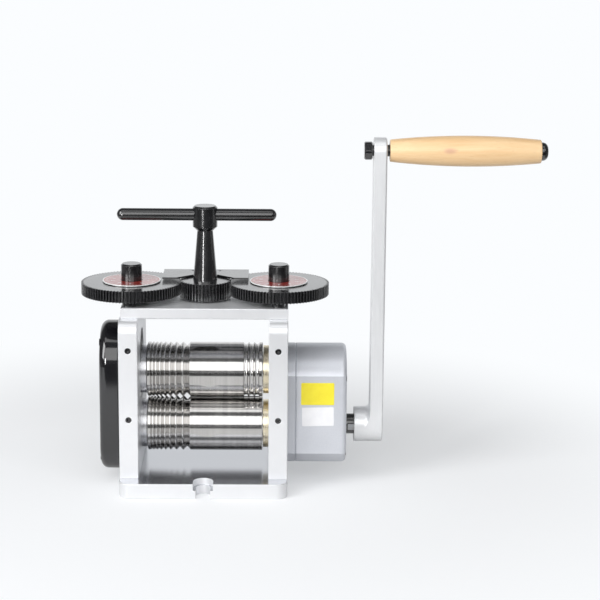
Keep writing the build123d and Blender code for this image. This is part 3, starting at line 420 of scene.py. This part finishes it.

# %% [markdown]
# ## Plated plates
#
# The base, the uprights and the top plate are milled steel, blasted fine and then plated, so they are
# bright but not sharp. Flat grey would look like plastic. A metal with a wide highlight, a grain finer
# than a tenth of a millimetre and faint clouds in the plating reads as satin. The broken edges catch
# more light. The top of the base and the underside of the top plate are ground as well, so there the
# plating is smoother and mirrors the rolls. Both sides lie in shade, and their colour is painted darker
# as shade: the surface's own Z tells those sides.

# %% Satin plate
def satin_plate(name, shaded_ground_side=None):
    """Plated plate; the ground side, painted darker as shade, is 1 for the top, -1 below, or None."""
    plate = Finish(name)
    edge, edge_normal = plate.worn_edges(radius=0.0004)
    grain = plate.noise(scale=5200.0, detail=2.0)
    cloud = plate.noise(scale=38.0, detail=3.0)
    milling = plate.noise(scale=900.0, stretch=(1.0, 1.0, 0.05), detail=2.0)
    colour = plate.blend(plate.ranged(cloud, 0.3, 0.7), tone(0.80, 0.81, 0.835), tone(0.84, 0.85, 0.87))
    colour = plate.blend(plate.ranged(grain, 0.35, 0.75, 0.0, 0.25), colour, grey(0.70))
    colour = plate.blend(edge, colour, tone(0.95, 0.955, 0.97))
    rough = plate.ranged(milling, 0.2, 0.8, 0.34, 0.42)
    metal = 0.55
    if shaded_ground_side:
        ground_rough, ground_metal = 0.18, 0.96
        facing = plate.parts(plate.add("ShaderNodeTexCoord").outputs["Normal"])["Z"]
        ground_and_shade = plate.ranged(facing, 0.8 * shaded_ground_side, 0.95 * shaded_ground_side)
        # painted shade: the ground side is coloured darker for the shade that falls there
        colour = plate.blend(ground_and_shade, colour, tone(0.54, 0.55, 0.58))
        rough = plate.ranged(ground_and_shade, 0.0, 1.0, rough, ground_rough)
        metal = plate.ranged(ground_and_shade, 0.0, 1.0, metal, ground_metal)
    plate.set(Base_Color=colour, Metallic=metal, Roughness=rough)
    plate.relief(grain, depth=0.000004, normal=edge_normal)
    return plate.material


# %% [markdown]
# ## Rolls, bushes and blocks
#
# The rolls are hard steel, ground and polished while they turn, so their marks run round them. Noise
# that is fine along the roll and very long round it gives those rings. The bushes are turned too: the
# left ones are steel, and the right ones are bronze.

# %% Ground steel and bronze
def turned_metal(name, dark, light, rough_low, rough_high, rings=2600.0):
    """A metal with turning marks round the X axis; rings counts the marks in a metre."""
    metal = Finish(name)
    marks = metal.noise(rings, stretch=(1.0, 0.012, 0.012), detail=3.0, rough=0.6)
    broad = metal.noise(scale=190.0, stretch=(1.0, 0.03, 0.03), detail=2.0)
    handling = metal.noise(scale=55.0, detail=4.0)
    share = metal.sum_of("ADD", metal.sum_of("MULTIPLY", marks, 0.6),
                         metal.sum_of("MULTIPLY", broad, 0.4))
    colour = metal.blend(metal.ranged(share, 0.34, 0.66), dark, light)
    rough = metal.sum_of("ADD", metal.ranged(share, 0.3, 0.7, rough_low, rough_high),
                         metal.ranged(handling, 0.45, 0.75, 0.0, 0.035))
    metal.set(Base_Color=colour, Metallic=1.0, Roughness=rough)
    metal.relief(marks, depth=0.0000012)
    return metal.material


# %% [markdown]
# ## Blackened steel
#
# The gears, the posts, the column and its bar are blackened in hot salts and oiled. The black layer is
# thin and glassy, so it acts like a varnish: nearly black seen straight on, and a clear grey mirror
# when it is seen at a low angle, as the tops of the gears are. A metal shader would stay too bright
# from in front, so this is a dark surface with a strong clear reflection. The teeth and corners are
# rubbed grey where they run on each other.

# %% Black oxide
def black_oxide(name, rough, grain_scale, rub, grain_depth=0.000003):
    """Oiled black steel; rub is how bright its edges have worn, from 0 to 1."""
    black = Finish(name)
    edge, edge_normal = black.worn_edges(radius=0.00022)
    grain = black.noise(grain_scale, detail=3.0)
    cloud = black.noise(scale=70.0, detail=4.0)
    colour = black.blend(black.ranged(cloud, 0.35, 0.7),
                         tone(0.006, 0.0062, 0.007), tone(0.012, 0.0125, 0.014))
    colour = black.blend(black.sum_of("MULTIPLY", edge, rub), colour, tone(0.22, 0.22, 0.23))
    oil = black.ranged(cloud, 0.3, 0.7, rough, rough + 0.06)
    black.set(Base_Color=colour, Metallic=0.0, IOR=1.7, Coat_Weight=0.8, Coat_IOR=1.5, Coat_Roughness=0.12,
              Roughness=black.sum_of("ADD", oil, black.ranged(grain, 0.3, 0.7, -0.03, 0.05)))
    black.relief(grain, grain_depth, normal=edge_normal)
    return black.material


# %% [markdown]
# ## Cut gears and springs inside
#
# The gears under the guard and in the gearbox are cut and left bright, with grease on them. They show
# only from the open sides and when the covers are hidden, but they are finished as well as the rest.
# Grease lies in patches, so a warped noise decides where the steel is brown and smooth.

# %% Bright inside steel
def cut_steel(name, colour, rough):
    """Cut steel with tool marks and patches of grease."""
    steel = Finish(name)
    edge, edge_normal = steel.worn_edges(radius=0.0002)
    marks = steel.noise(scale=1800.0, stretch=(0.04, 1.0, 1.0), detail=3.0)
    grease = steel.ranged(steel.noise(scale=120.0, detail=4.0, warp=0.4), 0.45, 0.7)
    darker = tone(*(0.8 * part for part in colour[:3]))
    shade = steel.blend(steel.ranged(marks, 0.3, 0.7), colour, darker)
    shade = steel.blend(steel.sum_of("MULTIPLY", grease, 0.45), shade, tone(0.16, 0.13, 0.09))
    shade = steel.blend(steel.sum_of("MULTIPLY", edge, 0.6), shade, grey(0.75))
    steel.set(Base_Color=shade, Metallic=1.0, Roughness=steel.ranged(grease, 0.0, 1.0, rough, rough - 0.12))
    steel.relief(marks, depth=0.000002, normal=edge_normal)
    return steel.material


# %% [markdown]
# ## Moulded guard
#
# The left guard is moulded in glossy black plastic. Such a surface is never quite flat: long faint
# waves from the mould bend its reflections, and a very fine orange peel softens them. Two noises of
# different size do both, where waves in the mesh would need very many faces.

# %% Guard plastic
def guard_plastic():
    """Glossy black plastic with mould waves and orange peel."""
    plastic = Finish("guard_black")
    waves = plastic.noise(scale=60.0, detail=2.0)
    peel = plastic.noise(scale=1500.0, detail=2.0)
    height = plastic.sum_of("ADD", plastic.sum_of("MULTIPLY", waves, 4.0), peel)
    hazy = plastic.noise(scale=26.0, detail=5.0, rough=0.65)
    plastic.set(Base_Color=plastic.blend(hazy, tone(0.004, 0.004, 0.005), tone(0.009, 0.009, 0.011)),
                Metallic=0.0, IOR=1.8, Roughness=plastic.ranged(hazy, 0.35, 0.75, 0.06, 0.11))
    plastic.relief(height, depth=0.0000025)
    return plastic.material


# %% [markdown]
# ## Powder-coated gearbox
#
# The gearbox is cast, then sprayed with a silver powder and baked. Close up the coat is a field of tiny
# metal flakes in clear lacquer, each tilted its own way: cells of noise give each flake its shade and
# its tilt. Under them the coat has a soft orange peel.

# %% Silver powder coat
def powder_coat():
    """Silver powder coat with metal flakes."""
    coat = Finish("gearbox_silver")
    edge, edge_normal = coat.worn_edges(radius=0.0003)
    flake = coat.add("ShaderNodeTexVoronoi")
    coat.feed(flake.inputs["Vector"], coat.place)
    flake.inputs["Scale"].default_value = 2600.0
    flake_shade = coat.parts(flake.outputs["Color"])["X"]
    peel = coat.noise(scale=700.0, detail=2.0)
    cloud = coat.noise(scale=45.0, detail=3.0)
    colour = coat.blend(coat.ranged(cloud, 0.3, 0.7), tone(0.61, 0.63, 0.68), tone(0.65, 0.67, 0.72))
    colour = coat.blend(coat.ranged(flake_shade, 0.0, 1.0, 0.0, 0.22), colour, tone(0.80, 0.81, 0.84))
    colour = coat.blend(coat.sum_of("MULTIPLY", edge, 0.2), colour, tone(0.82, 0.83, 0.86))
    coat.set(Base_Color=colour, Metallic=0.45, Roughness=coat.ranged(flake_shade, 0.0, 1.0, 0.34, 0.42))
    height = coat.sum_of("ADD", coat.sum_of("MULTIPLY", peel, 2.5), flake_shade)
    coat.relief(height, depth=0.0000015, normal=edge_normal)
    return coat.material


# %% [markdown]
# ## Linished crank
#
# The crank is cast aluminium, rubbed along its length on a belt and left satin. The belt leaves long
# fine scratches up the arm. An anisotropic shader would smear every highlight alike, so the scratches
# are noise drawn out along Z, which shades the metal and raises it a little.

# %% Crank aluminium
def linished_aluminium():
    """Satin aluminium with belt scratches along Z."""
    crank = Finish("crank_aluminium")
    edge, edge_normal = crank.worn_edges(radius=0.0005)
    scratches = crank.noise(scale=2400.0, stretch=(1.0, 1.0, 0.02), detail=4.0, rough=0.65)
    cloud = crank.noise(scale=60.0, detail=3.0)
    colour = crank.blend(crank.ranged(scratches, 0.3, 0.7),
                         tone(0.79, 0.80, 0.815), tone(0.85, 0.86, 0.875))
    colour = crank.blend(crank.ranged(cloud, 0.4, 0.8, 0.0, 0.3), colour, tone(0.74, 0.75, 0.77))
    colour = crank.blend(crank.sum_of("MULTIPLY", edge, 0.5), colour, grey(0.95))
    crank.set(Base_Color=colour, Metallic=0.42, Roughness=crank.ranged(scratches, 0.25, 0.75, 0.32, 0.42))
    crank.relief(scratches, depth=0.000003, normal=edge_normal)
    return crank.material


# %% [markdown]
# ## Wooden grip
#
# The grip is turned from a pale, close-grained hardwood and thinly varnished. The tree's rings lie
# along the grip, so the pattern is noise drawn out lengthwise, with short dark pores in it, and one
# small pinkish knot on the side that faces the front.

# %% Pale wood
def pale_wood():
    """Pale wood with its grain along X, and one knot."""
    knot_place = Vector((0.158, -0.0092, 0.2215))
    knot_long, knot_inner, knot_outer = 0.45, 0.0006, 0.0028    # drawn out along the grip; its radii
    wood = Finish("grip_wood")
    rings = wood.noise(scale=150.0, stretch=(0.10, 1.0, 1.0), detail=5.0, rough=0.6, warp=0.6)
    fibres = wood.noise(scale=1500.0, stretch=(0.035, 1.0, 1.0), detail=3.0)
    pores = wood.ranged(wood.noise(scale=2400.0, stretch=(0.07, 1.0, 1.0), detail=1.0), 0.66, 0.74)
    colour = wood.blend(wood.ranged(rings, 0.32, 0.68), tone(0.88, 0.625, 0.35), tone(0.78, 0.50, 0.25))
    colour = wood.blend(wood.ranged(fibres, 0.3, 0.7, 0.0, 0.35), colour, tone(0.91, 0.68, 0.41))
    colour = wood.blend(wood.sum_of("MULTIPLY", pores, 0.35), colour, tone(0.55, 0.33, 0.16))
    knot = wood.length_of(wood.moved((knot_long, 1.0, 1.0),
                                     (-knot_long * knot_place.x, -knot_place.y, -knot_place.z)))
    knot_share = wood.ranged(knot, knot_outer, knot_inner, 0.0, 0.75, way="SMOOTHSTEP")
    colour = wood.blend(knot_share, colour, tone(0.62, 0.33, 0.22))
    wood.set(Base_Color=colour, Roughness=wood.ranged(fibres, 0.3, 0.7, 0.34, 0.46), IOR=1.5,
             Coat_Weight=0.35, Coat_Roughness=0.22)
    height = wood.sum_of("SUBTRACT", fibres, wood.sum_of("MULTIPLY", pores, 2.0))
    wood.relief(height, depth=0.000012)
    return wood.material


# %% [markdown]
# ## Red dials
#
# Each side gear carries a thin printed disc: red, with a white rim, under a clear glossy film. The
# film is a coat on the shader, because it mirrors the wall behind and the post in front of it, while
# the print below stays red. The rim is painted by distance from the disc's centre.

# %% Dial print
def dial_print(node):
    """The print of one dial, centred on its node."""
    centre = middle_of(node)
    low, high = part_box(node)
    radius = (high[0] - low[0]) / 2
    rim_width, rim_blur = 0.0007, 0.0001
    disc = Finish("dial_red_" + node.split("_")[0])
    from_centre = disc.length_of(disc.moved((1, 1, 0), (-centre.x, -centre.y, 0)))
    rim = disc.ranged(from_centre, radius - rim_width, radius - rim_width + rim_blur)
    ink = disc.noise(scale=900.0, detail=3.0)
    faded = disc.noise(scale=120.0, detail=4.0)
    red = disc.blend(disc.ranged(faded, 0.3, 0.7), tone(0.30, 0.018, 0.012), tone(0.40, 0.032, 0.022))
    red = disc.blend(disc.ranged(ink, 0.5, 0.8, 0.0, 0.4), red, tone(0.52, 0.10, 0.07))
    disc.set(Base_Color=disc.blend(rim, red, grey(0.85)), Metallic=0.0, Roughness=0.35,
             Coat_Weight=1.0, Coat_Roughness=0.06, Coat_IOR=1.8)
    disc.relief(faded, depth=0.000004)
    return disc.material


# %% [markdown]
# ## Every node gets its finish
#
# The record names a slot for each node. The finishes below go by that name, and a few nodes that look
# different from their neighbours, though they share a slot, get their own variant: the top plate and
# the base are ground on one side and painted darker there as shade, each dial's print is centred on
# that dial, the gears are rubbed more than the column and its bar, and the left bushes are turned
# coarser than the rolls.

# %% Assign finishes
finishes = {
    "satin_plate": satin_plate("satin_plate"),
    "ground_steel": turned_metal("ground_steel", tone(0.50, 0.49, 0.48), tone(0.66, 0.65, 0.635),
                                 rough_low=0.10, rough_high=0.16),
    "bronze": turned_metal("bronze", tone(0.74, 0.65, 0.46), tone(0.86, 0.79, 0.62),
                           rough_low=0.20, rough_high=0.30, rings=1700.0),
    "black_oxide": black_oxide("black_oxide", rough=0.17, grain_scale=2600.0, rub=0.35),
    "gear_steel": cut_steel("gear_steel", tone(0.46, 0.47, 0.49), rough=0.36),
    "spring_steel": cut_steel("spring_steel", tone(0.52, 0.53, 0.55), rough=0.30),
    "guard_black": guard_plastic(),
    "gearbox_silver": powder_coat(),
    "crank_aluminium": linished_aluminium(),
    "spacer_steel": black_oxide("spacer_steel", rough=0.40, grain_scale=1800.0, rub=0.5),
    "grip_wood": pale_wood(),
}
variants = {
    "top_plate": satin_plate("satin_plate_top", shaded_ground_side=-1),
    "base_plate": satin_plate("satin_plate_base", shaded_ground_side=1),
    "left_dial": dial_print("left_dial"),
    "right_dial": dial_print("right_dial"),
}
gear_black = black_oxide("black_oxide_gear", rough=0.18, grain_scale=3400.0, rub=0.9,
                         grain_depth=0.000004)
for name in ("left_adjusting_gear", "right_adjusting_gear", "centre_gear"):
    variants[name] = gear_black
bush_steel = turned_metal("ground_steel_bush", tone(0.60, 0.60, 0.62), tone(0.76, 0.76, 0.78),
                          rough_low=0.20, rough_high=0.30)
for name in ("lower_left_bush", "upper_left_bush"):
    variants[name] = bush_steel

for name, node in nodes.items():
    slot_name = node.material_slots[0].material.name
    key = next((key for key in finishes if slot_name.startswith(key)), None)
    node.material_slots[0].material = variants.get(name) or finishes[key]
    print(name, "->", node.material_slots[0].material.name)

# %% [markdown]
# ## Printed scales
#
# One turn of a side gear moves its screw by one pitch, and the scale says how much of that turn is
# used: ten numbers, with four short lines between. A painted texture could show them, but thin raised
# ink is sharp from any distance. One short line is shaped and spun round the dial, and the numbers
# are text that is turned into a mesh.

# %% Ink
def ink_finish(name, colour):
    """Printing ink with fine specks and a soft gloss."""
    ink = Finish(name)
    speck = ink.noise(scale=3000.0, detail=2.0)
    ink.set(Base_Color=ink.blend(ink.ranged(speck, 0.3, 0.8, 0.0, 0.5), colour, grey(0.70)),
            Roughness=0.32, Coat_Weight=0.6, Coat_Roughness=0.12)
    ink.relief(speck, depth=0.000003)
    return ink.material


white_ink = ink_finish("dial_red_ink", grey(0.66))


def select_only(*objects):
    """Select these objects and no others; the first is the active one."""
    bpy.ops.object.select_all(action="DESELECT")
    for item in objects:
        item.select_set(True)
    bpy.context.view_layer.objects.active = objects[0]


def settle(piece):
    """Put a piece's place into its mesh."""
    select_only(piece)
    bpy.ops.object.transform_apply(location=True, rotation=True, scale=True)


# %% Scale of lines
ink_height = 0.00004
corner_share = 0.3          # of a line's width
merge_distance = 0.000001


def spun_lines(name, centre, inner, outer, width, count):
    """Lines from the inner to the outer radius, all round the centre."""
    bpy.ops.object.select_all(action="DESELECT")
    place = (centre.x, centre.y + (inner + outer) / 2, centre.z + ink_height / 2)
    bpy.ops.mesh.primitive_cube_add(size=1, location=place)
    lines = bpy.context.object
    lines.name = name
    lines.scale = (width, outer - inner, ink_height)
    settle(lines)
    bpy.ops.object.mode_set(mode="EDIT")
    bpy.ops.mesh.select_mode(type="EDGE")
    bpy.ops.mesh.select_all(action="DESELECT")
    bpy.ops.object.mode_set(mode="OBJECT")
    for edge in lines.data.edges:
        ends = [lines.data.vertices[index].co for index in edge.vertices]
        edge.select = abs(ends[0].z - ends[1].z) > ink_height / 2
    bpy.ops.object.mode_set(mode="EDIT")
    bpy.ops.mesh.bevel(offset=width * corner_share, segments=2, affect="EDGES")
    bpy.ops.mesh.select_all(action="SELECT")
    bpy.ops.mesh.spin(steps=count, dupli=True, angle=2 * pi, center=tuple(centre), axis=(0, 0, 1))
    bpy.ops.mesh.select_all(action="SELECT")
    bpy.ops.mesh.remove_doubles(threshold=merge_distance)
    bpy.ops.mesh.normals_make_consistent(inside=False)
    bpy.ops.object.mode_set(mode="OBJECT")
    print(name, len(lines.data.polygons), "faces")
    return lines


# %% Numbers
def dial_number(text, centre, radius, size, turn_by):
    """One number, upright towards the dial's edge."""
    place = (centre.x + radius * sin(turn_by), centre.y + radius * cos(turn_by),
             centre.z + ink_height / 2)
    bpy.ops.object.select_all(action="DESELECT")
    bpy.ops.object.text_add(location=place, rotation=(0, 0, -turn_by))
    number = bpy.context.object
    number.data.body = text
    number.data.size = size
    number.data.extrude = ink_height / 2
    number.data.resolution_u = 3
    number.data.align_x = "CENTER"
    number.data.align_y = "CENTER"
    bpy.ops.object.convert(target="MESH")
    settle(number)
    return number


# %% One scale on each dial
number_count, lines_between = 10, 4
line_outer = 0.0172
long_inner, long_width = 0.0143, 0.00032
short_inner, short_width = 0.0155, 0.00020
number_radius, number_size = 0.0123, 0.0036


def dial_scale(node, body):
    """The lines and numbers of one dial, joined to one piece that turns with its gear."""
    low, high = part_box(node)
    centre = Vector(((low[0] + high[0]) / 2, (low[1] + high[1]) / 2, high[2]))
    side = node.split("_")[0]
    long_lines = spun_lines(side + "_dial_scale", centre, long_inner, line_outer, long_width,
                            number_count)
    short_lines = spun_lines(side + "_short_lines", centre, short_inner, line_outer, short_width,
                             number_count * (lines_between + 1))
    numbers = [dial_number(str(count), centre, number_radius, number_size,
                           2 * pi * count / number_count)
               for count in range(number_count)]
    select_only(long_lines, short_lines, *numbers)
    bpy.ops.object.join()
    scale = bpy.context.object
    scale.data.materials.clear()
    scale.data.materials.append(white_ink)
    for face in scale.data.polygons:
        face.material_index = 0
    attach(scale, body)
    print(scale.name, "rides on", body)


dial_scale("left_dial", nodes["left_dial"]["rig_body"])
dial_scale("right_dial", nodes["right_dial"]["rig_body"])

# %% [markdown]
# ## Stickers
#
# The gearbox has two plain stickers on its front, a yellow one and a white one below it. Each is a
# thin sheet with round corners, pressed on by hand, so the white one sits a little crooked. Paint on
# the cover would do for a far view, but a sheet has an edge that catches the light. Its face is vinyl:
# smooth, with a very soft shine.

# %% Vinyl
def vinyl(name, colour, shade):
    """Smooth vinyl that is faintly uneven in colour."""
    sheet = Finish(name)
    cloud = sheet.noise(scale=220.0, detail=3.0)
    fine = sheet.noise(scale=2600.0, detail=2.0)
    sheet.set(Base_Color=sheet.blend(sheet.ranged(cloud, 0.3, 0.8), colour, shade), Roughness=0.42,
              Coat_Weight=0.25, Coat_Roughness=0.25)
    sheet.relief(sheet.sum_of("ADD", fine, sheet.sum_of("MULTIPLY", cloud, 2.0)), depth=0.000004)
    return sheet.material


# %% Two stickers
sticker_thickness = 0.00012
sticker_corner = 0.0007
cover_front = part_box("gearbox_cover")[0][1]
yellow_place = (0.0633, 0.0849, 0.0559, 0.0708)     # left, right, bottom, top
white_place = (0.0640, 0.0848, 0.0416, 0.0542)
white_lean = -1.2                                   # degrees


def sticker(name, left, right, bottom, top, lean, finish):
    """A thin sheet on the gearbox's front face, turned by lean degrees."""
    centre = Vector(((left + right) / 2, cover_front - sticker_thickness / 2, (bottom + top) / 2))
    bpy.ops.object.select_all(action="DESELECT")
    bpy.ops.mesh.primitive_cube_add(size=1, location=centre)
    sheet = bpy.context.object
    sheet.name = name
    sheet.scale = (right - left, sticker_thickness, top - bottom)
    sheet.rotation_euler = (0, radians(lean), 0)
    settle(sheet)
    bpy.ops.object.mode_set(mode="EDIT")
    bpy.ops.mesh.select_mode(type="EDGE")
    bpy.ops.mesh.select_all(action="DESELECT")
    bpy.ops.object.mode_set(mode="OBJECT")
    for edge in sheet.data.edges:
        ends = [sheet.data.vertices[index].co for index in edge.vertices]
        edge.select = abs(ends[0].y - ends[1].y) > sticker_thickness / 2
    bpy.ops.object.mode_set(mode="EDIT")
    bpy.ops.mesh.bevel(offset=sticker_corner, segments=5, affect="EDGES")
    bpy.ops.object.mode_set(mode="OBJECT")
    sheet.data.materials.append(finish)
    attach(sheet, nodes["gearbox_cover"]["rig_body"])
    print(name, len(sheet.data.polygons), "faces")


sticker("yellow_sticker", *yellow_place, 0.0,
        vinyl("yellow_vinyl", tone(0.92, 0.80, 0.035), tone(0.86, 0.72, 0.025)))
sticker("white_sticker", *white_place, white_lean,
        vinyl("white_vinyl", tone(0.90, 0.90, 0.92), tone(0.84, 0.84, 0.87)))
